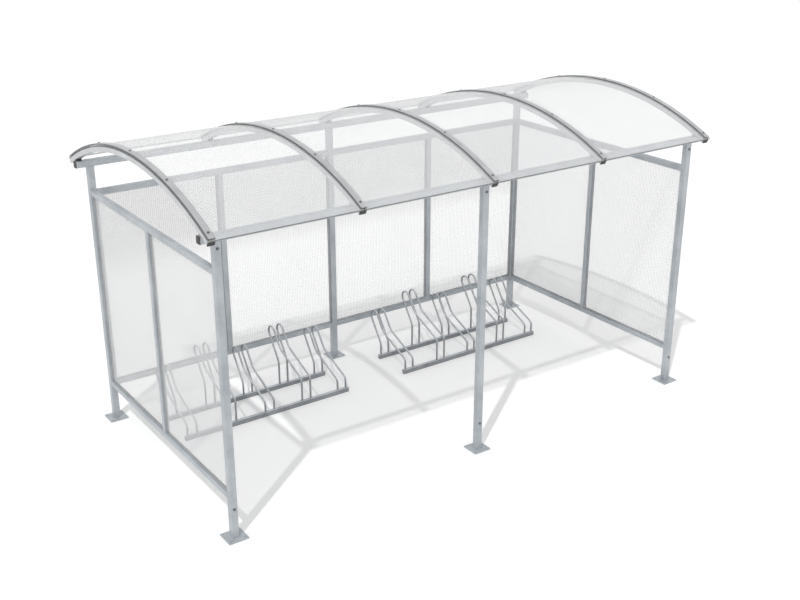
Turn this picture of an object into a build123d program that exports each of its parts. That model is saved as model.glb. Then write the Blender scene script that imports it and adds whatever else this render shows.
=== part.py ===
from build123d import *
import os
from math import asin, cos, degrees, radians, sin, sqrt, tan

# Bike shelter: six posts, two beams and five arch bars carry a curved roof of
# twin-wall sheets. Two ends and the back are glazed, the front is open, and two
# wheel racks stand inside. X runs along the shelter, the open front faces -Y,
# Z is up, and the origin is on the ground in the middle of the plan.

os.makedirs("parts", exist_ok=True)

# ---------------------------------------------------------------- dimensions
# Plan and heights, to the middle lines of the posts
shelter_length = 4200.0
shelter_depth = 2100.0
beam_underside = 2120.0

# Posts: square steel tube
post_size = 50.0
post_wall = 3.0
post_corner = 3.0

# Foot plates, spigots in the post ends and their anchor holes
plate_size = 150.0
plate_thick = 8.0
plate_corner = 6.0
anchor_edge = 20.0
anchor_hole = 12.0
spigot_clearance = 0.5
spigot_wall = 3.0
foot_spigot_length = 250.0
head_spigot_length = 90.0

# Beams along the front and the back
beam_size = 50.0
beam_wall = 3.0
beam_corner = 3.0
beam_overhang = 108.0
cap_thick = 5.0
cap_plug = 20.0

# Roof arches: a bar below, a gasket and a cover strip that clamp the sheets.
# Each offset shifts one arch along the beams from its even spacing.
arch_offsets = (0.0, -12.0, 0.0, -43.0, 0.0)
arch_inset = 8.0
arch_radius = 2604.0
roof_overhang = 123.0
bar_width = 50.0
bar_height = 36.0
bar_wall = 2.5
bar_corner = 3.0
gasket_thick = 4.0
cover_inset = 4.0
cover_thick = 6.0
cover_edge = 1.5
saddle_width = 40.0
saddle_depth = 35.0
saddle_edge = 2.0

# Twin-wall sheets in the roof and the walls
sheet_thick = 10.0
sheet_gap = 1.0
sheet_lip = 10.0
gasket_web = 10.0

# Wall frames: rails and mullions of one square tube, and a channel around each sheet
wall_bottom = 294.0
vent_height = 187.0
rail_size = 40.0
rail_wall = 2.0
rail_corner = 2.5
channel_depth = 12.0
channel_wall = 2.0
sheet_edge_gap = 4.0

# Wheel racks
rack_back_gap = 305.0
rack_rail_spread = 385.0
rack_end_margin = 10.5
rack_rail_height = 40.0
rack_rail_depth = 30.0
rack_rail_wall = 2.0
rack_rail_corner = 2.5
rack_cap_thick = 3.0
slot_count = 5
slot_pitch = 348.0
slot_width = 65.0
rod_diameter = 16.0

# Hoop shape, seen from the side; each rise is that of a high hoop above the rails
hoop_drop = 105.0
rear_knee_rise = 210.0
front_knee_rise = 197.0
crown_rise = 450.0
crown_reach = 101.0
crown_radius = 54.0
front_slope = 22.8
rear_knee_bend = 90.0
middle_bend = 160.0
front_knee_bend = 45.0

# ------------------------------------------------------------ derived values
post_xs = {"left": -shelter_length / 2, "middle": 0.0, "right": shelter_length / 2}
post_ys = {"front": -shelter_depth / 2, "back": shelter_depth / 2}
post_places = [(x, y) for x in post_xs.values() for y in post_ys.values()]
post_length = beam_underside - plate_thick
spigot_size = post_size - 2 * post_wall - 2 * spigot_clearance
anchor_spacing = plate_size - 2 * anchor_edge

beam_length = shelter_length + 2 * beam_overhang
beam_top = beam_underside + beam_size
beam_outer_y = shelter_depth / 2 + beam_size / 2

# The end arches stand a little in from the end caps of the beams
arch_gaps = len(arch_offsets) - 1
arch_spacing = (beam_length + 2 * cap_thick - 2 * arch_inset - bar_width) / arch_gaps
arch_xs = [(i - arch_gaps / 2) * arch_spacing + offset for i, offset in enumerate(arch_offsets)]
cover_width = bar_width - 2 * cover_inset

# Radii of the roof layers, from the middle of the sheets outwards and inwards
sheet_inner_r = arch_radius - sheet_thick / 2
sheet_outer_r = arch_radius + sheet_thick / 2
bar_top_r = sheet_inner_r - gasket_thick
bar_bottom_r = bar_top_r - bar_height
cover_bottom_r = sheet_outer_r + gasket_thick
arch_angle = degrees(asin((shelter_depth / 2 + roof_overhang) / arch_radius))
arch_centre_z = beam_top + saddle_edge - sqrt(bar_bottom_r**2 - beam_outer_y**2)
arch_cap_angle = degrees(cap_thick / arch_radius)
sheet_angle = degrees(asin((shelter_depth / 2 + roof_overhang + sheet_lip) / arch_radius))


# ------------------------------------------------------------------- helpers
def tube_section(width, height, wall, corner):
    """Draw a hollow section with rounded corners in the sketch that is open."""
    RectangleRounded(width, height, corner)
    Rectangle(width - 2 * wall, height - 2 * wall, mode=Mode.SUBTRACT)


def arch_plane(x, angle):
    """Plane through the arch centre line, tilted from the crown to the front.

    A point at local (0, r) lies at radius r on an arch at x.
    """
    tilt = radians(angle)
    return Plane((x, 0, arch_centre_z), x_dir=(1, 0, 0), z_dir=(0, -cos(tilt), -sin(tilt)))


def arch_axis(x):
    """Axis that turns a section from the front end of an arch to the back."""
    return Axis((x, 0, arch_centre_z), (-1, 0, 0))


def save(piece, name):
    """Label a finished piece and write it to its STEP file."""
    piece.part.label = name
    export_step(piece.part, f"parts/{name}.step")


# --------------------------------------------------------------------- posts
for row, y in post_ys.items():
    for side, x in post_xs.items():
        with BuildPart() as post:
            with BuildSketch(Plane.XY.offset(plate_thick)):
                with Locations((x, y)):
                    tube_section(post_size, post_size, post_wall, post_corner)
            extrude(amount=post_length)
        save(post, f"{row}_{side}_post")

with BuildPart() as foot_plates:
    with BuildSketch():
        with Locations(*post_places):
            RectangleRounded(plate_size, plate_size, plate_corner)
            with GridLocations(anchor_spacing, anchor_spacing, 2, 2):
                Circle(anchor_hole / 2, mode=Mode.SUBTRACT)
    extrude(amount=plate_thick)
save(foot_plates, "foot_plates")

with BuildPart() as foot_spigots:
    with BuildSketch(Plane.XY.offset(plate_thick)):
        with Locations(*post_places):
            Rectangle(spigot_size, spigot_size)
            Rectangle(spigot_size - 2 * spigot_wall, spigot_size - 2 * spigot_wall, mode=Mode.SUBTRACT)
    extrude(amount=foot_spigot_length)
save(foot_spigots, "foot_spigots")

with BuildPart() as head_spigots:
    with BuildSketch(Plane.XY.offset(beam_underside)):
        with Locations(*post_places):
            Rectangle(spigot_size, spigot_size)
            Rectangle(spigot_size - 2 * spigot_wall, spigot_size - 2 * spigot_wall, mode=Mode.SUBTRACT)
    extrude(amount=-head_spigot_length)
save(head_spigots, "head_spigots")

# --------------------------------------------------------------------- beams
for row, y in post_ys.items():
    with BuildPart() as beam:
        with BuildSketch(Plane.YZ.offset(-beam_length / 2)):
            with Locations((y, beam_underside + beam_size / 2)):
                tube_section(beam_size, beam_size, beam_wall, beam_corner)
        extrude(amount=beam_length)
    save(beam, f"{row}_beam")

with BuildPart() as beam_end_caps:
    for y in post_ys.values():
        with BuildSketch(Plane.YZ.offset(beam_length / 2)):
            with Locations((y, beam_underside + beam_size / 2)):
                RectangleRounded(beam_size, beam_size, beam_corner)
        extrude(amount=cap_thick)
        with BuildSketch(Plane.YZ.offset(beam_length / 2)):
            with Locations((y, beam_underside + beam_size / 2)):
                Rectangle(beam_size - 2 * beam_wall, beam_size - 2 * beam_wall)
        extrude(amount=-cap_plug)
    mirror(about=Plane.YZ)
save(beam_end_caps, "beam_end_caps")

# --------------------------------------------------------------- roof arches
for number, x in enumerate(arch_xs, start=1):
    with BuildPart() as arch_bar:
        with BuildSketch(arch_plane(x, arch_angle)):
            with Locations((0, (bar_bottom_r + bar_top_r) / 2)):
                tube_section(bar_width, bar_height, bar_wall, bar_corner)
        revolve(axis=arch_axis(x), revolution_arc=2 * arch_angle)
    save(arch_bar, f"arch_bar_{number}")

    with BuildPart() as arch_cover:
        with BuildSketch(arch_plane(x, arch_angle)):
            with Locations((0, cover_bottom_r + cover_thick / 2)):
                RectangleRounded(cover_width, cover_thick, cover_edge)
        revolve(axis=arch_axis(x), revolution_arc=2 * arch_angle)
    save(arch_cover, f"arch_cover_{number}")

# The web of a gasket keeps two sheets apart. An end arch has one sheet and no web.
with BuildPart() as arch_gaskets:
    for x in arch_xs:
        with BuildSketch(arch_plane(x, arch_angle)):
            for lip_r in (bar_top_r, sheet_outer_r):
                with Locations((0, lip_r + gasket_thick / 2)):
                    Rectangle(bar_width, gasket_thick)
            if x not in (arch_xs[0], arch_xs[-1]):
                with Locations((0, arch_radius)):
                    Rectangle(gasket_web, sheet_thick)
        revolve(axis=arch_axis(x), revolution_arc=2 * arch_angle)
save(arch_gaskets, "arch_gaskets")

with BuildPart() as arch_end_caps:
    for x in arch_xs:
        with BuildSketch(arch_plane(x, arch_angle + arch_cap_angle)):
            with Locations((0, (bar_bottom_r + bar_top_r) / 2)):
                RectangleRounded(bar_width, bar_height, bar_corner)
        revolve(axis=arch_axis(x), revolution_arc=arch_cap_angle)
    mirror(about=Plane.XZ)
save(arch_end_caps, "arch_end_caps")

# Each saddle is flat on the beam and hollowed to the underside of the arch bar
with BuildPart() as arch_saddles:
    for x in arch_xs:
        with BuildSketch(Plane.YZ.offset(x - saddle_width / 2)):
            with Locations((0, arch_centre_z)):
                Circle(bar_bottom_r)
            with Locations((beam_outer_y - saddle_depth / 2, beam_top + beam_size / 2)):
                Rectangle(saddle_depth, beam_size, mode=Mode.INTERSECT)
        extrude(amount=saddle_width)
    mirror(about=Plane.XZ)
save(arch_saddles, "arch_saddles")

# --------------------------------------------------------------- roof sheets
# A sheet stops beside the webs of its gaskets, or at the outer side of an end arch
sheet_inset = gasket_web / 2 + sheet_gap
for number, (x0, x1) in enumerate(zip(arch_xs, arch_xs[1:]), start=1):
    left = x0 - bar_width / 2 if x0 == arch_xs[0] else x0 + sheet_inset
    right = x1 + bar_width / 2 if x1 == arch_xs[-1] else x1 - sheet_inset
    middle = (left + right) / 2
    with BuildPart() as roof_sheet:
        with BuildSketch(arch_plane(middle, sheet_angle)):
            with Locations((0, arch_radius)):
                Rectangle(right - left, sheet_thick)
        revolve(axis=arch_axis(middle), revolution_arc=2 * sheet_angle)
    save(roof_sheet, f"roof_sheet_{number}")

# --------------------------------------------------------------------- walls
# A wall plane has its local x along the wall and its local y up. Each wall is given
# with the middle lines of its posts and of its mullions.
half_length = shelter_length / 2
walls = {
    "left": (Plane.YZ.offset(post_xs["left"]), post_ys.values(), [0.0]),
    "right": (Plane.YZ.offset(post_xs["right"]), post_ys.values(), [0.0]),
    "back": (Plane.XZ.offset(-post_ys["back"]), post_xs.values(), [-half_length / 2, half_length / 2]),
}
wall_top = beam_underside - vent_height
field_bottom = wall_bottom + rail_size
field_top = wall_top - rail_size
field_height = field_top - field_bottom
field_z = (field_bottom + field_top) / 2


def clear_bays(uprights):
    """Start and end of each clear bay between uprights, given as (middle line, width)."""
    row = sorted(uprights)
    return [(a + a_width / 2, b - b_width / 2) for (a, a_width), (b, b_width) in zip(row, row[1:])]


def rail_plane(wall, start, z):
    """Plane square to a wall, where a rail along it begins."""
    return Plane(wall.from_local_coords((start, z, 0)), x_dir=wall.z_dir, z_dir=wall.x_dir)


for name, (wall, post_stops, mullion_stops) in walls.items():
    wall_posts = [(stop, post_size) for stop in post_stops]
    wall_mullions = [(stop, rail_size) for stop in mullion_stops]
    bays = clear_bays(wall_posts + wall_mullions)

    # the rails run from post to post, and the mullions stand between them
    with BuildPart() as rails:
        for start, end in clear_bays(wall_posts):
            for z in (wall_bottom + rail_size / 2, wall_top - rail_size / 2):
                with BuildSketch(rail_plane(wall, start, z)):
                    tube_section(rail_size, rail_size, rail_wall, rail_corner)
                extrude(amount=end - start)
    save(rails, f"{name}_wall_rails")

    with BuildPart() as mullions:
        for stop in mullion_stops:
            with BuildSketch(Plane(wall.from_local_coords((stop, field_bottom, 0)))):
                tube_section(rail_size, rail_size, rail_wall, rail_corner)
            extrude(amount=field_height)
    save(mullions, f"{name}_wall_mullions")

    with BuildPart() as channels:
        for start, end in bays:
            width = end - start
            opening = (width - 2 * channel_depth, field_height - 2 * channel_depth)
            slot = (width - 2 * channel_wall, field_height - 2 * channel_wall)
            with BuildSketch(wall):
                with Locations(((start + end) / 2, field_z)):
                    Rectangle(width, field_height)
                    Rectangle(*opening, mode=Mode.SUBTRACT)
            extrude(amount=sheet_thick / 2 + channel_wall, both=True)
            with BuildSketch(wall):
                with Locations(((start + end) / 2, field_z)):
                    Rectangle(*slot)
            extrude(amount=sheet_thick / 2, both=True, mode=Mode.SUBTRACT)
    save(channels, f"{name}_wall_channels")

    edge = channel_wall + sheet_edge_gap
    with BuildPart() as sheets:
        for start, end in bays:
            with BuildSketch(wall):
                with Locations(((start + end) / 2, field_z)):
                    Rectangle(end - start - 2 * edge, field_height - 2 * edge)
            extrude(amount=sheet_thick / 2, both=True)
    save(sheets, f"{name}_wall_sheets")

# --------------------------------------------------------------------- racks
# One rack stands in the middle of each half, with the mullion of the back wall behind it
slot_xs = [(i - (slot_count - 1) / 2) * slot_pitch for i in range(slot_count)]
rod_offset = (slot_width + rod_diameter) / 2
rack_centre_x = shelter_length / 4
rack_length = (slot_count - 1) * slot_pitch + slot_width + 2 * (rod_diameter + rack_end_margin)
rack_rear_y = shelter_depth / 2 - rack_back_gap
rack_front_y = rack_rear_y - rack_rail_spread


def hoop_line(plane, drop):
    """Middle line of a hoop rod, from its rear foot over the crown to its front foot.

    The points are worked out in the side view (along Y, up Z), then placed on the plane.
    """
    rear_foot = Vector(rack_rear_y, rack_rail_height)
    front_foot = Vector(rack_front_y, rack_rail_height)
    rear_knee = rear_foot + Vector(0, rear_knee_rise - drop)
    front_knee = front_foot + Vector(0, front_knee_rise - drop)
    crown = rear_foot + Vector(crown_reach, crown_rise - drop)

    # the rear limb is tangent to the crown bend, and the front limb runs parallel to it
    to_crown = crown - rear_knee
    lean = radians(to_crown.get_angle(Vector(0, 1))) + asin(crown_radius / to_crown.length)
    limb = Vector(sin(lean), cos(lean))
    across = Vector(-limb.Y, limb.X)
    rear_end = crown - across * crown_radius
    front_end = crown + across * crown_radius

    # the front limb comes down to where it meets the shallow stretch over the wheel
    slope = tan(radians(front_slope))
    gap = front_end - front_knee
    middle = front_end - limb * (gap.Y - slope * gap.X) / (limb.Y - slope * limb.X)

    rear = [plane.from_local_coords(p) for p in (rear_foot, rear_knee, rear_end)]
    top = [plane.from_local_coords(p) for p in (rear_end, crown + limb * crown_radius, front_end)]
    front = [plane.from_local_coords(p) for p in (front_end, middle, front_knee, front_foot)]
    with BuildLine() as line:
        FilletPolyline(*rear, radius=rear_knee_bend)
        ThreePointArc(*top)
        FilletPolyline(*front, radius=[middle_bend, front_knee_bend])
    return line.line


for side, centre_x in (("left", -rack_centre_x), ("right", rack_centre_x)):
    with BuildPart() as rack_rails:
        with BuildSketch(Plane.YZ.offset(centre_x - rack_length / 2)):
            with Locations((rack_front_y, rack_rail_height / 2), (rack_rear_y, rack_rail_height / 2)):
                tube_section(rack_rail_depth, rack_rail_height, rack_rail_wall, rack_rail_corner)
        extrude(amount=rack_length)
    save(rack_rails, f"{side}_rack_rails")

    for level, slots, drop in (("low", slot_xs[0::2], hoop_drop), ("high", slot_xs[1::2], 0.0)):
        with BuildPart() as hoops:
            for slot_x in slots:
                for rod_x in (-rod_offset, rod_offset):
                    plane = Plane.YZ.offset(centre_x + slot_x + rod_x)
                    line = hoop_line(plane, drop)
                    with BuildSketch(Plane(line @ 0, z_dir=line % 0)):
                        Circle(rod_diameter / 2)
                    sweep(path=line)
        save(hoops, f"{side}_rack_{level}_hoops")

with BuildPart() as rack_rail_caps:
    for centre_x in (-rack_centre_x, rack_centre_x):
        for out in (-1, 1):
            with BuildSketch(Plane.YZ.offset(centre_x + out * rack_length / 2)):
                with Locations((rack_front_y, rack_rail_height / 2), (rack_rear_y, rack_rail_height / 2)):
                    RectangleRounded(rack_rail_depth, rack_rail_height, rack_rail_corner)
            extrude(amount=out * rack_cap_thick)
save(rack_rail_caps, "rack_rail_caps")
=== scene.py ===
# %% [markdown]
# # A bike shelter, dressed in Blender
# The solids of the shelter come in as a fixed frame: posts, beams, arch bars, wall
# frames and wheel racks, in metres, with X along the shelter, the open front towards
# -Y and Z up. This lesson gives them their finishes and adds what the solids leave
# out: the ribs inside the clear sheets, the screws and bolts, and the weld beads.

# %% Load the frame
from math import asin, cos, pi, radians, sin, sqrt

import bmesh
import bpy
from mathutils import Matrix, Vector


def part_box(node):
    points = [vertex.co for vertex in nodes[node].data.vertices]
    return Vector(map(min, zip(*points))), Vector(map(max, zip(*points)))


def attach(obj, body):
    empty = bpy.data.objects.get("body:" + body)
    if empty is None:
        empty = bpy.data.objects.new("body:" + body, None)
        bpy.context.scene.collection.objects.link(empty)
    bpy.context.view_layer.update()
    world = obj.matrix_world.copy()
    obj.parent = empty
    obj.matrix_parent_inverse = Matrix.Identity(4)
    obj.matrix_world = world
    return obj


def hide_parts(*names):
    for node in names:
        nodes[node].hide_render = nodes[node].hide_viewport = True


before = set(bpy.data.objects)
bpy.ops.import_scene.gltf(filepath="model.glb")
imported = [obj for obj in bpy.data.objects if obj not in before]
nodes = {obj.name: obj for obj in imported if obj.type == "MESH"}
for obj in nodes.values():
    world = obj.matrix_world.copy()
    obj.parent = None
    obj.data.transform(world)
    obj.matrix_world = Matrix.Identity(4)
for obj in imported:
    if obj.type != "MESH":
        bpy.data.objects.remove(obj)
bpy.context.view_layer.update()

# %% [markdown]
# ## Measuring the frame
# The highest and the widest point of the first roof sheet give the radius and the
# centre of the roof curve, and the top of an arch cover gives the radius that the
# screws stand on. The ribbed sheets, the eave tapes and the screws all hang on those
# numbers, so they are worked out once.

# %% Read the roof curve and the post places from the solids
def middle_of(node):
    """The middle of a solid's box."""
    low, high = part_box(node)
    return (low + high) / 2


arch_numbers = range(1, 6)
arch_xs = [middle_of(f"arch_cover_{n}").x for n in arch_numbers]
sheet_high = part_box("roof_sheet_1")[1]
sheet_thick = 0.010
# the highest and the widest point of the sheet's outer skin give its radius
sheet_reach = sheet_high.y
edge_tolerance = 0.0005
outer_points = [v.co for v in nodes["roof_sheet_1"].data.vertices]
edge_z = max(p.z for p in outer_points if abs(p.y - sheet_reach) < edge_tolerance)
rise = sheet_high.z - edge_z
roof_radius = (sheet_reach**2 + rise**2) / (2 * rise)
roof_centre_z = sheet_high.z - roof_radius
cover_top_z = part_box("arch_cover_1")[1].z
cover_radius = cover_top_z - roof_centre_z
post_names = [n for n in nodes if n.endswith("_post")]
print("roof radius %.3f m, centre z %.3f m" % (roof_radius, roof_centre_z))
print("cover radius %.3f m" % cover_radius)
print("arches at x =", [round(x, 3) for x in arch_xs], "and", len(post_names), "posts")

# %% [markdown]
# ## A short way to write materials
# A node material is a small chain: a pattern is read at a place on the piece, turned
# into a range of values, and fed to the shader. The helper below adds one node, sets
# its sockets by name and returns it, so that each finish can be written as a list of
# what it does. Object coordinates are metres here, so a scale of 100 is one
# centimetre to a cell on every piece alike.

# %% Helpers for node materials
def add(tree, kind, **sockets):
    """Add a node to a tree; a keyword sets a property or, with a link, an input."""
    node = tree.nodes.new(kind)
    for name, value in sockets.items():
        if hasattr(node, name):
            setattr(node, name, value)
        else:
            wire(tree, value, node.inputs[name.replace("_", " ")])
    return node


def wire(tree, value, socket):
    """Link a socket to an input, or set the input to a plain value."""
    if isinstance(value, bpy.types.NodeSocket):
        tree.links.new(value, socket)
    else:
        socket.default_value = value


def new_finish(name):
    """A material with an empty chain that ends in a Principled shader."""
    finish = bpy.data.materials.new(name)
    finish.use_nodes = True
    tree = finish.node_tree
    tree.nodes.clear()
    shader = tree.nodes.new("ShaderNodeBsdfPrincipled")
    out = tree.nodes.new("ShaderNodeOutputMaterial")
    tree.links.new(shader.outputs["BSDF"], out.inputs["Surface"])
    return finish, tree, shader


def pattern_place(tree, scale=(1, 1, 1)):
    """Object coordinates, stretched for a pattern that runs one way."""
    place = tree.nodes.new("ShaderNodeTexCoord")
    mapping = add(tree, "ShaderNodeMapping")
    mapping.inputs["Scale"].default_value = scale
    tree.links.new(place.outputs["Object"], mapping.inputs["Vector"])
    return mapping.outputs["Vector"]


def noise(tree, place, scale, detail=3.0, rough=0.5):
    """Soft random values, with features about 1/scale metres across."""
    node = add(tree, "ShaderNodeTexNoise", Vector=place, Scale=scale, Detail=detail, Roughness=rough)
    return node.outputs["Fac"]


def spread(tree, value, low, high, start=0.0, stop=1.0):
    """Map a value that runs from start to stop onto the range from low to high."""
    node = add(tree, "ShaderNodeMapRange")
    for socket, number in (("From Min", start), ("From Max", stop), ("To Min", low), ("To Max", high)):
        node.inputs[socket].default_value = number
    tree.links.new(value, node.inputs["Value"])
    return node.outputs["Result"]


def tint(tree, value, dark, light, low=0.0, high=1.0):
    """Turn a value into a colour between two colours."""
    ramp = tree.nodes.new("ShaderNodeValToRGB")
    ramp.color_ramp.elements[0].position, ramp.color_ramp.elements[0].color = low, (*dark, 1)
    ramp.color_ramp.elements[1].position, ramp.color_ramp.elements[1].color = high, (*light, 1)
    tree.links.new(value, ramp.inputs["Fac"])
    return ramp.outputs["Color"]


def mix_colour(tree, share, first, second, blend="MIX"):
    """Blend two colours by a share from 0 to 1."""
    node = tree.nodes.new("ShaderNodeMix")
    node.data_type, node.blend_type = "RGBA", blend
    wire(tree, share, node.inputs["Factor"])
    wire(tree, first, node.inputs["A"])
    wire(tree, second, node.inputs["B"])
    return node.outputs["Result"]


def relief(tree, height, shader, distance, strength=1.0):
    """Give the shader a bump from a height pattern; distance is in metres."""
    bump = add(tree, "ShaderNodeBump", Height=height, Distance=distance, Strength=strength)
    tree.links.new(bump.outputs["Normal"], shader.inputs["Normal"])


print("material helpers ready")

# %% [markdown]
# ## Hot-dip galvanised steel
# The zinc on dipped steel freezes into a spangle: flat crystals a centimetre or two
# across, each a slightly different grey. Weather dulls them to a soft blue-grey. A
# Voronoi pattern gives the crystals, a slow noise gives the cloudy patches and a fine
# noise roughens the surface. A chalky skin scatters light as well as mirroring it, so
# the metallic value stays well below one. The racks get painted shade: faces that look
# sideways or down are coloured darker than faces that look up.

# %% Galvanised steel
def make_zinc(name, dark, light, metal=0.35, side_shade=1.0):
    """Galvanised steel with spangle, clouds and fine grain, and painted shade on sides and undersides.
    """
    finish, tree, shader = new_finish(name)
    place = pattern_place(tree)
    crystals = add(tree, "ShaderNodeTexVoronoi", Vector=place, Scale=75.0, Randomness=1.0)
    grey = add(tree, "ShaderNodeSeparateColor", Color=crystals.outputs["Color"]).outputs["Red"]
    clouds = noise(tree, place, 5.0, 4.0, 0.6)
    grain = noise(tree, place, 420.0, 2.0)
    base = tint(tree, clouds, dark, light, 0.32, 0.68)
    flecks = tint(tree, grey, (0.90, 0.91, 0.92), (1.0, 1.0, 1.0))
    base = mix_colour(tree, 1.0, base, flecks, "MULTIPLY")
    # painted shade: faces that look sideways or down get a darker colour than faces that look up
    normal = tree.nodes.new("ShaderNodeTexCoord").outputs["Normal"]
    upward = add(tree, "ShaderNodeSeparateXYZ", Vector=normal).outputs["Z"]
    painted_shade = tint(tree, upward, (side_shade,) * 3, (1.0, 1.0, 1.0), 0.0, 0.8)
    tree.links.new(mix_colour(tree, 1.0, base, painted_shade, "MULTIPLY"), shader.inputs["Base Color"])
    tree.links.new(spread(tree, grey, 0.42, 0.56), shader.inputs["Roughness"])
    shader.inputs["Metallic"].default_value = metal
    relief(tree, grain, shader, 0.00015, 0.5)
    return finish


zinc = make_zinc("hot_dip_zinc", (0.41, 0.44, 0.465), (0.53, 0.56, 0.585))
# the racks carry painted shade: their sides and undersides are coloured half as bright
zinc_racks = make_zinc("hot_dip_zinc_racks", (0.52, 0.545, 0.57), (0.68, 0.705, 0.73),
                       metal=0.6, side_shade=0.5)
print("finishes:", zinc.name, zinc_racks.name)

# %% [markdown]
# ## Satin aluminium
# The bars that carry the sheets and the strips that clamp them are drawn through a
# die, which leaves fine lines along their length. On an arch every line keeps its own
# x, so a noise that is squeezed along x and stretched along y and z follows the curve
# without any unwrapping.

# %% Aluminium
def make_aluminium(name, dark, light):
    """Satin aluminium with drawing lines that follow an arch."""
    finish, tree, shader = new_finish(name)
    lines = noise(tree, pattern_place(tree, (1.0, 0.004, 0.004)), 900.0, 3.0, 0.6)
    clouds = noise(tree, pattern_place(tree), 9.0, 3.0)
    base = tint(tree, clouds, dark, light, 0.3, 0.7)
    streaks = tint(tree, lines, (0.88, 0.88, 0.88), (1.0, 1.0, 1.0), 0.3, 0.7)
    tree.links.new(mix_colour(tree, 1.0, base, streaks, "MULTIPLY"), shader.inputs["Base Color"])
    tree.links.new(spread(tree, lines, 0.30, 0.44), shader.inputs["Roughness"])
    shader.inputs["Metallic"].default_value = 0.7
    relief(tree, lines, shader, 0.00008, 0.4)
    return finish


bar_aluminium = make_aluminium("satin_aluminium_bars", (0.56, 0.575, 0.59), (0.64, 0.655, 0.67))
cover_aluminium = make_aluminium("satin_aluminium_covers", (0.47, 0.485, 0.50), (0.56, 0.57, 0.58))
print("finishes:", bar_aluminium.name, cover_aluminium.name)

# %% [markdown]
# ## Black plastic, rubber and screws
# The end caps are moulded plastic with a fine matt grain, and the gaskets are extruded
# rubber, a little greyer where dust settles. Screws and bolts are coated steel: a
# darker, smoother metal than what they hold, so that each head reads as a separate
# thing.

# %% Plastic, rubber and coated steel
def make_black(name, dark, light, grain_scale, rough):
    """Matt black material with a fine grain and a trace of dust."""
    finish, tree, shader = new_finish(name)
    place = pattern_place(tree)
    dust_and_shade = noise(tree, place, 30.0, 4.0, 0.6)
    grain = noise(tree, place, grain_scale, 2.0)
    tree.links.new(tint(tree, dust_and_shade, dark, light, 0.4, 0.75), shader.inputs["Base Color"])
    tree.links.new(spread(tree, grain, rough - 0.08, rough + 0.08), shader.inputs["Roughness"])
    relief(tree, grain, shader, 0.0001, 0.6)
    return finish


def make_coated_steel(name):
    """Dark coated steel with faint turning marks."""
    finish, tree, shader = new_finish(name)
    marks = noise(tree, pattern_place(tree), 700.0, 2.0)
    base = tint(tree, marks, (0.13, 0.135, 0.14), (0.22, 0.225, 0.23), 0.3, 0.7)
    tree.links.new(base, shader.inputs["Base Color"])
    tree.links.new(spread(tree, marks, 0.28, 0.42), shader.inputs["Roughness"])
    shader.inputs["Metallic"].default_value = 0.6
    return finish


black_plastic = make_black("moulded_black", (0.030, 0.031, 0.033), (0.050, 0.051, 0.053), 900.0, 0.55)
gasket_rubber = make_black("gasket_grey", (0.14, 0.145, 0.15), (0.20, 0.205, 0.21), 600.0, 0.75)
screw_steel = make_coated_steel("coated_screw_steel")
print("finishes:", black_plastic.name, gasket_rubber.name, screw_steel.name)

# %% [markdown]
# ## Clear twin-wall sheet
# Twin-wall polycarbonate is two thin skins held apart by ribs. From close by it is
# clear, and from a few metres it is a pale haze with fine lines. Each skin is given a
# small opacity, and a rib, which is seen edge on, its own opacity and tone. The
# ribs are real geometry, so a slanting view crosses more of them and the sheet turns
# hazier by itself. The opacity is one plain number on the shader, because a pattern in
# it would look like dirt. The back wall's sheets get painted shade: their tone turns
# darker towards the top, where they stand under the roof.

# %% Twin-wall sheet
# painted shade: the heights between which the top of the back wall turns to its darker tone
top_shade_starts, top_shade_full = 1.18, 1.45


def make_clear_sheet(name, opacity, dark, light, dust_and_shade=None):
    """Clear plastic: part of each surface is opaque, and painted shade may darken its top."""
    finish, tree, shader = new_finish(name)
    place = pattern_place(tree)
    haze = noise(tree, place, 2.0, 3.0, 0.5)
    specks = noise(tree, place, 160.0, 2.0)
    base = tint(tree, haze, dark, light, 0.3, 0.7)
    if dust_and_shade:
        # painted shade: above about 1.2 m the colour blends into the darker top tone
        height = add(tree, "ShaderNodeSeparateXYZ", Vector=place).outputs["Z"]
        base = mix_colour(tree, spread(tree, height, 0.0, 1.0, top_shade_starts, top_shade_full), base, (*dust_and_shade, 1))
    tree.links.new(base, shader.inputs["Base Color"])
    tree.links.new(spread(tree, specks, 0.16, 0.26, 0.3, 0.7), shader.inputs["Roughness"])
    shader.inputs["Alpha"].default_value = opacity
    return finish


# The roof, and still more the end walls, get darker copies of the back wall's sheet tone: painted shade.
skin_tones = (0.92, 0.93, 0.935), (0.95, 0.955, 0.96)
roof_skin_tones = (0.87, 0.88, 0.885), (0.91, 0.915, 0.92)
rib_tones = (0.86, 0.865, 0.87), (0.90, 0.905, 0.91)
end_skin_tones = (0.80, 0.805, 0.81), (0.84, 0.845, 0.85)
# the darker tone at the top of the back wall is painted shade
top_shade_tone = (0.20, 0.20, 0.205)
clear_skins = {
    "roof": make_clear_sheet("roof_sheet_skin", 0.14, *roof_skin_tones),
    "back": make_clear_sheet("back_sheet_skin", 0.10, *skin_tones, dust_and_shade=top_shade_tone),
    "end": make_clear_sheet("end_sheet_skin", 0.13, *end_skin_tones),
}
clear_ribs = {
    "roof": make_clear_sheet("roof_sheet_rib", 0.16, *rib_tones),
    "back": make_clear_sheet("back_sheet_rib", 0.13, *rib_tones, dust_and_shade=top_shade_tone),
    "end": make_clear_sheet("end_sheet_rib", 0.12, *end_skin_tones),
}
tape_grey = make_black("eave_tape_grey", (0.40, 0.405, 0.41), (0.48, 0.485, 0.49), 500.0, 0.6)
# painted shade: near-black dashes for the shaded hollows of the flute mouths
mouth_shade = make_black("flute_mouth_painted_shade", (0.07, 0.071, 0.073), (0.10, 0.101, 0.103), 500.0, 0.8)
print("sheet finishes:", len(clear_skins) + len(clear_ribs), "and", tape_grey.name, mouth_shade.name)

# %% [markdown]
# ## Giving each solid its finish
# The steel, aluminium, plastic and rubber solids already have the right shape, so they
# stay and only get a better material. Their names say what they are made of.

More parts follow.
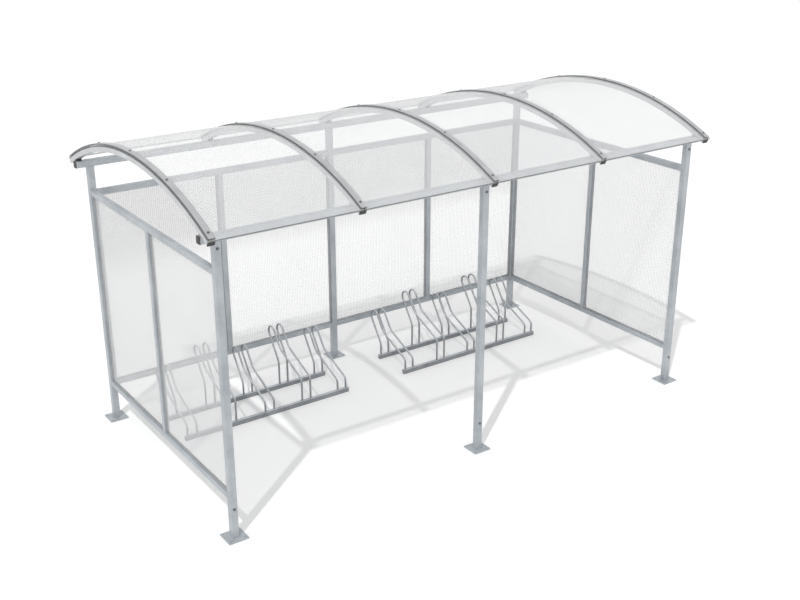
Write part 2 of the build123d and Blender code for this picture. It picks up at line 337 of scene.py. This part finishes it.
# %% Dress the solids that stay
def finish_for(name):
    """The finish of a solid, from its name."""
    if name.startswith("arch_bar"):
        return bar_aluminium
    if name.startswith("arch_cover") or name.endswith("_channels"):
        return cover_aluminium
    if name == "arch_gaskets":
        return gasket_rubber
    if name in ("beam_end_caps", "arch_end_caps", "arch_saddles"):
        return black_plastic
    if "rack_" in name:
        return zinc_racks
    return zinc


def set_finish(piece, finish):
    """One material on the whole of a mesh."""
    piece.data.materials.clear()
    piece.data.materials.append(finish)


for name, solid in nodes.items():
    if "_sheet" not in name:
        set_finish(solid, finish_for(name))
print("dressed", sum("_sheet" not in n for n in nodes), "solids")

# %% [markdown]
# ## Helpers for Geometry Nodes
# Whatever repeats is made by a node tree: the flutes of a sheet, the screws, the
# ripples of a weld. A tree is built once with named inputs, put on a small carrier
# mesh by a modifier, and its result is then kept as a plain mesh. A modifier knows its
# inputs by an identifier and not by their names, so the helper looks that up first.

# %% Helpers for node trees
def new_tree(name, finishes=("Finish",), **sizes):
    """A geometry tree with one input for each size and each finish."""
    tree = bpy.data.node_groups.new(name, "GeometryNodeTree")
    face = tree.interface
    face.new_socket("Geometry", in_out="INPUT", socket_type="NodeSocketGeometry")
    for label, value in sizes.items():
        kind = {int: "NodeSocketInt", float: "NodeSocketFloat"}.get(type(value), "NodeSocketVector")
        socket = face.new_socket(label.replace("_", " "), in_out="INPUT", socket_type=kind)
        socket.default_value = value
    for label in finishes:
        face.new_socket(label, in_out="INPUT", socket_type="NodeSocketMaterial")
    face.new_socket("Geometry", in_out="OUTPUT", socket_type="NodeSocketGeometry")
    start = tree.nodes.new("NodeGroupInput")
    return tree, start.outputs


def end_tree(tree, geometry, finish, picked=None, picked_finish=None):
    """Close a tree: make instances real, set the material and hand the mesh out.

    The faces that picked is true for can get a finish of their own.
    """
    real = add(tree, "GeometryNodeRealizeInstances", Geometry=geometry)
    dressed = add(tree, "GeometryNodeSetMaterial", Geometry=real.outputs[0], Material=finish)
    if picked is not None:
        dressed = add(tree, "GeometryNodeSetMaterial", Geometry=dressed.outputs[0],
                      Selection=picked, Material=picked_finish)
    out = tree.nodes.new("NodeGroupOutput")
    tree.links.new(dressed.outputs[0], out.inputs[0])


def maths(tree, kind, *values):
    """One math node: kind is ADD, SUBTRACT, MULTIPLY, DIVIDE, SINE and so on."""
    node = tree.nodes.new("ShaderNodeMath")
    node.operation = kind
    for value, socket in zip(values, node.inputs):
        wire(tree, value, socket)
    return node.outputs[0]


def join(tree, *parts):
    """Join several geometries into one."""
    node = tree.nodes.new("GeometryNodeJoinGeometry")
    for part in parts:
        tree.links.new(part, node.inputs[0])
    return node.outputs[0]


def point_of(tree, x=0.0, y=0.0, z=0.0):
    """A vector from three values."""
    return add(tree, "ShaderNodeCombineXYZ", X=x, Y=y, Z=z).outputs[0]


def grow(tree, name, carrier, **values):
    """Run a tree on a carrier mesh and return the result as a plain new object."""
    seed = bpy.data.objects.new(name + "_seed", carrier)
    bpy.context.scene.collection.objects.link(seed)
    modifier = seed.modifiers.new("build", "NODES")
    modifier.node_group = tree
    known = {item.name: item.identifier for item in tree.interface.items_tree if item.in_out == "INPUT"}
    for label, value in values.items():
        modifier[known[label.replace("_", " ")]] = value
    graph = bpy.context.evaluated_depsgraph_get()
    mesh = bpy.data.meshes.new_from_object(seed.evaluated_get(graph), depsgraph=graph)
    bpy.data.objects.remove(seed)
    piece = bpy.data.objects.new(name, mesh)
    mesh.name = name
    bpy.context.scene.collection.objects.link(piece)
    mesh.calc_loop_triangles()
    print(f"{name}: {len(mesh.loop_triangles)} triangles")
    return piece


def empty_mesh(name):
    """A carrier with nothing in it, for a tree that makes its own geometry."""
    return bpy.data.meshes.new(name)


print("tree helpers ready")

# %% [markdown]
# ## The twin-wall sheets
# The solids of the sheets are plain slabs. The real sheet is an extrusion with a row of
# square flutes, about sixteen millimetres apart, that run down the slope so that water
# drains out. The tree sweeps a flat rectangle along a line for the outside, sweeps a row
# of small rectangles for the flutes, and turns those inside out so that they are hollows
# in the plastic. The two ends are filled round the flute mouths, and the parts are merged
# into one closed skin. A curved sheet is then bent by a formula: the distance along it
# becomes an angle round the roof's centre.

# %% Sheet tree
flute_pitch = 0.0164
sheet_sewing_gap = 0.00002


def middle_first(tree, count, pitch):
    """Where a row of a count at a pitch begins, so that its middle is at zero."""
    half = maths(tree, "MULTIPLY", pitch, -0.5)
    return maths(tree, "MULTIPLY", maths(tree, "SUBTRACT", count, 1.0), half)


def make_sheet_tree(name, curved):
    """A fluted sheet along Y; a curved one is bent about the roof centre."""
    tree, size = new_tree(name, finishes=("Skin finish", "Rib finish"), Width=1.0, Length=1.0,
                          Thickness=0.01, Skin=0.0008, Rib=0.0008, Pitch=flute_pitch, Segments=1,
                          Radius=2.6, Place=Vector(), Turn=Vector())

    front = point_of(tree, y=maths(tree, "MULTIPLY", size["Length"], -0.5))
    back = point_of(tree, y=maths(tree, "MULTIPLY", size["Length"], 0.5))
    line = add(tree, "GeometryNodeCurvePrimitiveLine", Start=front, End=back)
    stops = maths(tree, "ADD", size["Segments"], 1.0)
    cut = add(tree, "GeometryNodeResampleCurve", Curve=line.outputs[0], Count=stops)
    path = add(tree, "GeometryNodeSetCurveNormal", mode="Z_UP", Curve=cut.outputs[0]).outputs[0]

    outside = add(tree, "GeometryNodeCurvePrimitiveQuadrilateral", Width=size["Width"],
                  Height=size["Thickness"])
    flute_width = maths(tree, "SUBTRACT", size["Pitch"], size["Rib"])
    skins = maths(tree, "MULTIPLY", size["Skin"], 2.0)
    flute = add(tree, "GeometryNodeCurvePrimitiveQuadrilateral", Width=flute_width,
                Height=maths(tree, "SUBTRACT", size["Thickness"], skins))
    room = maths(tree, "SUBTRACT", size["Width"], size["Rib"])
    count = maths(tree, "FLOOR", maths(tree, "DIVIDE", room, size["Pitch"]))
    first = middle_first(tree, count, size["Pitch"])
    row = add(tree, "GeometryNodeMeshLine", Count=count, Start_Location=point_of(tree, x=first),
              Offset=point_of(tree, x=size["Pitch"]))
    flutes = add(tree, "GeometryNodeInstanceOnPoints", Points=row.outputs[0], Instance=flute.outputs[0])
    flutes = add(tree, "GeometryNodeRealizeInstances", Geometry=flutes.outputs[0])

    shell = add(tree, "GeometryNodeCurveToMesh", Curve=path, Profile_Curve=outside.outputs[0])
    hollows = add(tree, "GeometryNodeCurveToMesh", Curve=path, Profile_Curve=flutes.outputs[0])
    hollows = add(tree, "GeometryNodeFlipFaces", Mesh=hollows.outputs[0])
    outlines = join(tree, outside.outputs[0], flutes.outputs[0])
    end = add(tree, "GeometryNodeFillCurve", mode="NGONS", Curve=outlines)
    upright = (pi / 2, 0.0, 0.0)
    front_end = add(tree, "GeometryNodeTransform", Geometry=end.outputs[0], Translation=front,
                    Rotation=upright)
    back_end = add(tree, "GeometryNodeTransform", Geometry=end.outputs[0], Translation=back,
                   Rotation=upright)
    back_end = add(tree, "GeometryNodeFlipFaces", Mesh=back_end.outputs[0])
    sheet = join(tree, shell.outputs[0], hollows.outputs[0], front_end.outputs[0], back_end.outputs[0])
    sheet = add(tree, "GeometryNodeMergeByDistance", Geometry=sheet,
                Distance=sheet_sewing_gap).outputs[0]

    if curved:
        place = tree.nodes.new("GeometryNodeInputPosition").outputs[0]
        here = add(tree, "ShaderNodeSeparateXYZ", Vector=place).outputs
        angle = maths(tree, "DIVIDE", here["Y"], size["Radius"])
        radius = maths(tree, "ADD", size["Radius"], here["Z"])
        bent = point_of(tree, here["X"], maths(tree, "MULTIPLY", radius, maths(tree, "SINE", angle)),
                        maths(tree, "MULTIPLY", radius, maths(tree, "COSINE", angle)))
        sheet = add(tree, "GeometryNodeSetPosition", Geometry=sheet, Position=bent).outputs[0]

    folds = tree.nodes.new("GeometryNodeInputMeshEdgeAngle").outputs["Unsigned Angle"]
    sheet = add(tree, "GeometryNodeSetShadeSmooth", Geometry=sheet).outputs[0]
    sheet = add(tree, "GeometryNodeSetShadeSmooth", domain="EDGE", Geometry=sheet,
                Shade_Smooth=maths(tree, "LESS_THAN", folds, radians(30))).outputs[0]
    placed = add(tree, "GeometryNodeTransform", Geometry=sheet, Translation=size["Place"],
                 Rotation=size["Turn"])

    # a face that looks across the flutes, to within about 45 degrees, is a rib
    across = add(tree, "ShaderNodeVectorRotate", rotation_type="EULER_XYZ", Vector=(1.0, 0.0, 0.0),
                 Rotation=size["Turn"])
    facing = tree.nodes.new("ShaderNodeVectorMath")
    facing.operation = "DOT_PRODUCT"
    wire(tree, tree.nodes.new("GeometryNodeInputNormal").outputs[0], facing.inputs[0])
    wire(tree, across.outputs[0], facing.inputs[1])
    across_share = maths(tree, "ABSOLUTE", facing.outputs["Value"])
    is_rib = maths(tree, "GREATER_THAN", across_share, 0.7)
    end_tree(tree, placed.outputs[0], size["Skin finish"], is_rib, size["Rib finish"])
    return tree


curved_sheet = make_sheet_tree("curved_twin_wall_sheet", True)
flat_sheet = make_sheet_tree("flat_twin_wall_sheet", False)
print("sheet trees:", len(curved_sheet.nodes), "and", len(flat_sheet.nodes), "nodes")

# %% Roof sheets
tape_thick, mouth_thick = 0.0006, 0.0003
middle_radius = roof_radius - sheet_thick / 2
# the sheet ends lie on a radius, so the outer skin gives the angle
roof_angle = asin(sheet_reach / roof_radius)


def finish_piece(piece, stands_for=()):
    """Hang a new piece on the shelter's root body, and hide the solids that it stands for."""
    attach(piece, "root")
    if stands_for:
        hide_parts(*stands_for)
    return piece


ribbed_length = 2 * (roof_angle * middle_radius - tape_thick - mouth_thick)
for number in range(1, 5):
    node = f"roof_sheet_{number}"
    low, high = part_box(node)
    sheet = grow(curved_sheet, f"ribbed_{node}", empty_mesh("seed"), Width=high.x - low.x,
                 Length=ribbed_length, Segments=48, Radius=middle_radius,
                 Place=((low.x + high.x) / 2, 0.0, roof_centre_z), Turn=(0.0, 0.0, 0.0),
                 Skin_finish=clear_skins["roof"], Rib_finish=clear_ribs["roof"])
    finish_piece(sheet, stands_for=[node])

# %% [markdown]
# ## Tape on the eaves
# A perforated tape closes the lower ends of the roof flutes against insects and still
# lets them drain. The shaded hollow of each flute mouth is painted as a small dark dash
# on the paler tape: painted shade. One tree lays a row of thin plates across a point,
# facing the way that the point says: one wide plate makes the tape and a row of small
# ones makes the dashes.

# %% Plate row tree
def make_plate_tree(name):
    """Rows of thin plates along X, one row for each point of the carrier."""
    tree, size = new_tree(name, Count=1, Pitch=flute_pitch, Wide=0.011, High=0.006, Thick=0.0003)
    plate_size = point_of(tree, size["Wide"], size["High"], size["Thick"])
    plate = add(tree, "GeometryNodeMeshCube", Size=plate_size)
    first = middle_first(tree, size["Count"], size["Pitch"])
    row = add(tree, "GeometryNodeMeshLine", Count=size["Count"], Start_Location=point_of(tree, x=first),
              Offset=point_of(tree, x=size["Pitch"]))
    plates = add(tree, "GeometryNodeInstanceOnPoints", Points=row.outputs[0], Instance=plate.outputs[0])
    out = add(tree, "GeometryNodeInputNamedAttribute", data_type="FLOAT_VECTOR", Name="out")
    stand = add(tree, "FunctionNodeAlignRotationToVector", axis="Z", pivot_axis="X",
                Vector=out.outputs["Attribute"])
    rows = add(tree, "GeometryNodeInstanceOnPoints", Points=size["Geometry"], Instance=plates.outputs[0],
               Rotation=stand.outputs[0])
    end_tree(tree, rows.outputs[0], size["Finish"])
    return tree


def point_mesh(name, places):
    """A mesh of loose points, each with the direction that its piece faces."""
    mesh = bpy.data.meshes.new(name)
    mesh.from_pydata([tuple(place) for place, _ in places], [], [])
    outs = mesh.attributes.new("out", "FLOAT_VECTOR", "POINT")
    for value, (_, direction) in zip(outs.data, places):
        value.vector = direction
    return mesh


plate_tree = make_plate_tree("plate_rows")
print("plate tree:", len(plate_tree.nodes), "nodes")

# %% Tapes and flute mouths
def sheet_ends(middle_x, inset):
    """A point in the middle of each eave end of a roof sheet, and the way it faces."""
    places = []
    for side in (-1, 1):
        angle = side * (roof_angle - inset / middle_radius)
        point = Vector((middle_x, middle_radius * sin(angle),
                        roof_centre_z + middle_radius * cos(angle)))
        places.append((point, side * Vector((0.0, cos(angle), -sin(angle)))))
    return places


tape_inset = mouth_thick + tape_thick / 2
mouth_inset = mouth_thick / 2
mouth_wide, mouth_high = 0.011, 0.0065
for number in range(1, 5):
    low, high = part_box(f"roof_sheet_{number}")
    wide, middle_x = high.x - low.x, (low.x + high.x) / 2
    ends = point_mesh("tape_points", sheet_ends(middle_x, tape_inset))
    finish_piece(grow(plate_tree, f"eave_tape_{number}", ends, Finish=tape_grey,
                      Wide=wide, High=sheet_thick, Thick=tape_thick))
    # the dark dashes in front of the tape are painted shade of the flute mouths
    ends = point_mesh("mouth_points", sheet_ends(middle_x, mouth_inset))
    finish_piece(grow(plate_tree, f"flute_mouths_{number}", ends, Finish=mouth_shade,
                      Count=int(wide / flute_pitch), Wide=mouth_wide, High=mouth_high,
                      Thick=mouth_thick))

# %% [markdown]
# ## The wall sheets
# The glazing of the walls is the same sheet with its flutes upright. One solid can hold
# several panes side by side, so the panes are found by splitting its mesh into loose
# islands, and each island's box gives one flat sheet.

# %% Find the separate solids of a node
sewing_gap = 0.00001


def island_boxes(node):
    """The box of each separate solid in a node, found by walking over its edges."""
    shape = bmesh.new()
    shape.from_mesh(nodes[node].data)
    bmesh.ops.remove_doubles(shape, verts=shape.verts, dist=sewing_gap)
    boxes, seen = [], set()
    for first in shape.verts:
        if first in seen:
            continue
        seen.add(first)
        queue, low, high = [first], first.co.copy(), first.co.copy()
        while queue:
            point = queue.pop()
            low, high = Vector(map(min, low, point.co)), Vector(map(max, high, point.co))
            for edge in point.link_edges:
                other = edge.other_vert(point)
                if other not in seen:
                    seen.add(other)
                    queue.append(other)
        boxes.append((low, high))
    shape.free()
    return boxes


print("back panes:", len(island_boxes("back_wall_sheets")))

# %% Wall sheets
for side in ("left", "right", "back"):
    node = f"{side}_wall_sheets"
    kind = "back" if side == "back" else "end"
    for number, (low, high) in enumerate(island_boxes(node), start=1):
        size = high - low
        wide, turn = (size.x, (pi / 2, 0.0, 0.0)) if side == "back" else (size.y, (pi / 2, 0.0, pi / 2))
        pane = grow(flat_sheet, f"ribbed_{side}_pane_{number}", empty_mesh("seed"),
                    Width=wide, Length=size.z, Place=tuple((low + high) / 2), Turn=turn,
                    Skin_finish=clear_skins[kind], Rib_finish=clear_ribs[kind])
        finish_piece(pane)
    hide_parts(node)

# %% [markdown]
# ## Screws and bolts
# Each cover strip is held down by five screws with sealing washers, and a bolt near the
# head and near the foot of each post, on its outer side, holds it to its spigot. One
# tree makes both: a washer and a six-sided head with a bevelled top, set on points that
# know which way is out. A fixed seed turns each head to its own angle, because no fitter
# lines them up.

# %% Hexagon head tree
def make_head_tree(name):
    """Hexagon heads with washers on points that carry an 'out' direction."""
    tree, size = new_tree(name, Flats=0.008, Height=0.005, Washer=0.008, Washer_height=0.0015, Seed=3)
    washer_top = maths(tree, "MULTIPLY", size["Washer"], 0.9)
    washer = add(tree, "GeometryNodeMeshCone", Vertices=20, Radius_Top=washer_top,
                 Radius_Bottom=size["Washer"], Depth=size["Washer height"])
    across = maths(tree, "DIVIDE", size["Flats"], sqrt(3))
    body = add(tree, "GeometryNodeMeshCone", Vertices=6, Radius_Top=across, Radius_Bottom=across,
               Depth=size["Height"])
    bevel_height = maths(tree, "MULTIPLY", size["Height"], 0.2)
    crown_top = maths(tree, "MULTIPLY", across, 0.82)
    crown = add(tree, "GeometryNodeMeshCone", Vertices=6, Radius_Top=crown_top,
                Radius_Bottom=across, Depth=bevel_height)
    lift = point_of(tree, z=size["Washer height"])
    body = add(tree, "GeometryNodeTransform", Geometry=body.outputs[0], Translation=lift)
    seam_z = maths(tree, "ADD", size["Washer height"], size["Height"])
    top = point_of(tree, z=seam_z)
    crown = add(tree, "GeometryNodeTransform", Geometry=crown.outputs[0], Translation=top)
    # the two faces that meet inside the head go, and its rims are sewn together
    place = tree.nodes.new("GeometryNodeInputPosition").outputs[0]
    height = add(tree, "ShaderNodeSeparateXYZ", Vector=place).outputs["Z"]
    from_seam = maths(tree, "ABSOLUTE", maths(tree, "SUBTRACT", height, seam_z))
    hexagon = add(tree, "GeometryNodeDeleteGeometry", domain="FACE", mode="ONLY_FACE",
                  Geometry=join(tree, crown.outputs[0], body.outputs[0]),
                  Selection=maths(tree, "LESS_THAN", from_seam, sewing_gap))
    hexagon = add(tree, "GeometryNodeMergeByDistance", Geometry=hexagon.outputs[0], Distance=sewing_gap)
    head = join(tree, hexagon.outputs[0], washer.outputs[0])
    out = add(tree, "GeometryNodeInputNamedAttribute", data_type="FLOAT_VECTOR", Name="out")
    stand = add(tree, "FunctionNodeAlignRotationToVector", axis="Z", Vector=out.outputs["Attribute"])
    spin = tree.nodes.new("FunctionNodeRandomValue")
    spin.data_type = "FLOAT"
    spin.inputs[3].default_value = radians(60)
    tree.links.new(size["Seed"], spin.inputs["Seed"])
    turned = add(tree, "FunctionNodeRotateRotation", rotation_space="LOCAL", Rotation=stand.outputs[0],
                 Rotate_By=point_of(tree, z=spin.outputs[1]))
    heads = add(tree, "GeometryNodeInstanceOnPoints", Points=size["Geometry"], Instance=head,
                Rotation=turned.outputs[0])
    end_tree(tree, heads.outputs[0], size["Finish"])
    return tree


head_tree = make_head_tree("hexagon_heads")
print("hexagon head tree:", len(head_tree.nodes), "nodes")

# %% Cover screws and post bolts
screw_reaches = (0.0, 0.577, 1.133)
cover_places = []
for x in arch_xs:
    for reach in sorted({side * r for r in screw_reaches for side in (-1, 1)}):
        tilt = asin(reach / cover_radius)
        out = Vector((0.0, sin(tilt), cos(tilt)))
        cover_places.append((Vector((x, 0.0, roof_centre_z)) + out * cover_radius, out))
cover_screws = grow(head_tree, "cover_screws", point_mesh("screw_points", cover_places),
                    Finish=screw_steel, Flats=0.010, Height=0.0045, Washer=0.0095,
                    Washer_height=0.0015)
finish_piece(cover_screws)

head_bolt_drop, foot_bolt_height = 0.045, 0.228
post_places = []
for name in post_names:
    low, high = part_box(name)
    face_y, outward = (low.y, -1.0) if low.y < 0 else (high.y, 1.0)
    for z in (high.z - head_bolt_drop, foot_bolt_height):
        post_places.append((Vector(((low.x + high.x) / 2, face_y, z)), Vector((0.0, outward, 0.0))))
post_bolts = grow(head_tree, "post_bolts", point_mesh("bolt_points", post_places),
                  Finish=screw_steel, Flats=0.013, Height=0.006, Washer=0.011,
                  Washer_height=0.0018, Seed=8)
finish_piece(post_bolts)
print(len(cover_places), "cover screws and", len(post_places), "post bolts")

# %% [markdown]
# ## Weld beads
# The wall rails are welded to the posts, the mullions to the rails and the hoops to the
# rack rails, before the frames are dipped in zinc. A bead is a row of overlapping
# ripples. The tree walks along each loop, sets a small rounded lump every few
# millimetres, and varies their size a little from a fixed seed.

# %% Weld tree
def make_weld_tree(name):
    """Overlapping ripples along every loop of the carrier."""
    tree, size = new_tree(name, Bead=0.003, Step=0.003, Seed=5)
    path = add(tree, "GeometryNodeMeshToCurve", Mesh=size["Geometry"])
    stops = add(tree, "GeometryNodeResampleCurve", Curve=path.outputs[0], mode="LENGTH")
    wire(tree, size["Step"], stops.inputs["Length"])
    lump = add(tree, "GeometryNodeMeshIcoSphere", Radius=size["Bead"], Subdivisions=2)
    lump = add(tree, "GeometryNodeSetShadeSmooth", Geometry=lump.outputs[0])
    vary = tree.nodes.new("FunctionNodeRandomValue")
    vary.data_type = "FLOAT"
    vary.inputs[2].default_value, vary.inputs[3].default_value = 0.85, 1.15
    tree.links.new(size["Seed"], vary.inputs["Seed"])
    beads = add(tree, "GeometryNodeInstanceOnPoints", Points=stops.outputs[0], Instance=lump.outputs[0],
                Scale=vary.outputs[1])
    end_tree(tree, beads.outputs[0], size["Finish"])
    return tree


def loop_mesh(name, loops):
    """A wire mesh of closed loops."""
    points, edges = [], []
    for loop in loops:
        first = len(points)
        points += [tuple(p) for p in loop]
        edges += [(first + i, first + (i + 1) % len(loop)) for i in range(len(loop))]
    mesh = bpy.data.meshes.new(name)
    mesh.from_pydata(points, edges, [])
    return mesh


weld_tree = make_weld_tree("weld_ripples")
print("weld tree:", len(weld_tree.nodes), "nodes")

# %% Welds on the wall frames and the racks
def square_loop(box, along, end):
    """Four corners round a rail at one of its ends."""
    low, high = box
    u, v = [axis for axis in range(3) if axis != along]
    loop = []
    for pick_u, pick_v in ((low, low), (high, low), (high, high), (low, high)):
        corner = Vector()
        corner[along], corner[u], corner[v] = end[along], pick_u[u], pick_v[v]
        loop.append(corner)
    return loop


rail_loops = []
for side in ("left", "right", "back"):
    along = 0 if side == "back" else 1
    for box in island_boxes(f"{side}_wall_rails"):
        rail_loops += [square_loop(box, along, end) for end in box]
    for box in island_boxes(f"{side}_wall_mullions"):
        rail_loops += [square_loop(box, 2, end) for end in box]
rail_welds = grow(weld_tree, "rail_welds", loop_mesh("rail_weld_paths", rail_loops),
                  Finish=zinc, Bead=0.0026, Step=0.0035)
finish_piece(rail_welds)

rod_steps = 16
foot_loops = []
for side in ("left", "right"):
    rail_boxes = island_boxes(f"{side}_rack_rails")
    rail_top = rail_boxes[0][1].z
    for level in ("low", "high"):
        for low, high in island_boxes(f"{side}_rack_{level}_hoops"):
            rod = (high.x - low.x) / 2
            for rail_low, rail_high in rail_boxes:
                foot = Vector(((low.x + high.x) / 2, (rail_low.y + rail_high.y) / 2, rail_top))
                steps = [2 * pi * i / rod_steps for i in range(rod_steps)]
                foot_loops.append([foot + Vector((rod * cos(a), rod * sin(a), 0.0)) for a in steps])
hoop_welds = grow(weld_tree, "hoop_welds", loop_mesh("hoop_weld_paths", foot_loops),
                  Finish=zinc_racks, Bead=0.0024, Step=0.0033)
finish_piece(hoop_welds)
print(len(rail_loops), "welds on the wall rails and", len(foot_loops), "on the hoops")

# %% [markdown]
# ## Floor, light and camera
# The shelter stands in a plain white studio. One wide floor takes the shadows. The sky
# lights everything evenly from all round, and one sun, high and from the front left,
# adds the shadows on the floor. Together they light a surface about as strongly
# as its colour is written.

# %% Floor
def seen_rays(tree):
    """One for rays that the camera, a reflection or a clear body sees, zero for light."""
    rays = tree.nodes.new("ShaderNodeLightPath").outputs
    mirrored = maths(tree, "MAXIMUM", rays["Is Glossy Ray"], rays["Is Transmission Ray"])
    return maths(tree, "MAXIMUM", rays["Is Camera Ray"], mirrored)


floor_radius, floor_sides = 60, 96
floor_mesh = bpy.data.meshes.new("studio_floor")
floor_rim = [2 * pi * i / floor_sides for i in range(floor_sides)]
floor_points = [(floor_radius * cos(a), floor_radius * sin(a), 0.0) for a in floor_rim]
floor_mesh.from_pydata(floor_points, [], [range(floor_sides)])
floor = bpy.data.objects.new("studio_floor", floor_mesh)
bpy.context.scene.collection.objects.link(floor)
floor_finish, floor_tree, floor_shader = new_finish("studio_floor")
floor_shader.inputs["Base Color"].default_value = (0.96, 0.96, 0.96, 1)
floor_shader.inputs["Roughness"].default_value = 0.9
floor_shader.inputs["Specular IOR Level"].default_value = 0.1
floor_shader.inputs["Emission Color"].default_value = (1, 1, 1, 1)
floor_glow = spread(floor_tree, seen_rays(floor_tree), 0.0, 0.10)
floor_tree.links.new(floor_glow, floor_shader.inputs["Emission Strength"])
set_finish(floor, floor_finish)
print("floor radius", floor_radius, "m")

# %% Sky and sun
world = bpy.data.worlds.new("studio")
bpy.context.scene.world = world
world.use_nodes = True
sky = world.node_tree
sky.nodes.clear()
light = add(sky, "ShaderNodeBackground", Color=(1.0, 1.0, 1.0, 1.0), Strength=0.70)
white = add(sky, "ShaderNodeBackground", Color=(1.0, 1.0, 1.0, 1.0), Strength=1.0)
blend = sky.nodes.new("ShaderNodeMixShader")
sky.links.new(seen_rays(sky), blend.inputs[0])
sky.links.new(light.outputs[0], blend.inputs[1])
sky.links.new(white.outputs[0], blend.inputs[2])
sky.links.new(blend.outputs[0], sky.nodes.new("ShaderNodeOutputWorld").inputs["Surface"])

sun = bpy.data.objects.new("sun", bpy.data.lights.new("sun", "SUN"))
bpy.context.scene.collection.objects.link(sun)
sun.data.energy = 1.2
sun.data.angle = radians(1.0)
sunlight_run = Vector((0.527, 0.390, -1.0))
sun.rotation_euler = sunlight_run.to_track_quat("-Z", "Y").to_euler()
print("sun height %.0f degrees" % (90 - sunlight_run.angle(Vector((0, 0, -1))) * 180 / pi))

# %% Camera
camera = bpy.data.objects.new("camera", bpy.data.cameras.new("camera"))
bpy.context.scene.collection.objects.link(camera)
camera_drop, camera_turn = 22.07, -35.0
camera.location = (-4.846, -6.926, 4.322)
camera.rotation_euler = (radians(90 - camera_drop), 0.0, radians(camera_turn))
camera.data.lens = 50.08
camera.data.sensor_width = 36.0
bpy.context.scene.camera = camera
bpy.context.scene.view_settings.view_transform = "Standard"
bpy.context.scene.cycles.transparent_max_bounces = 64
print("camera set")
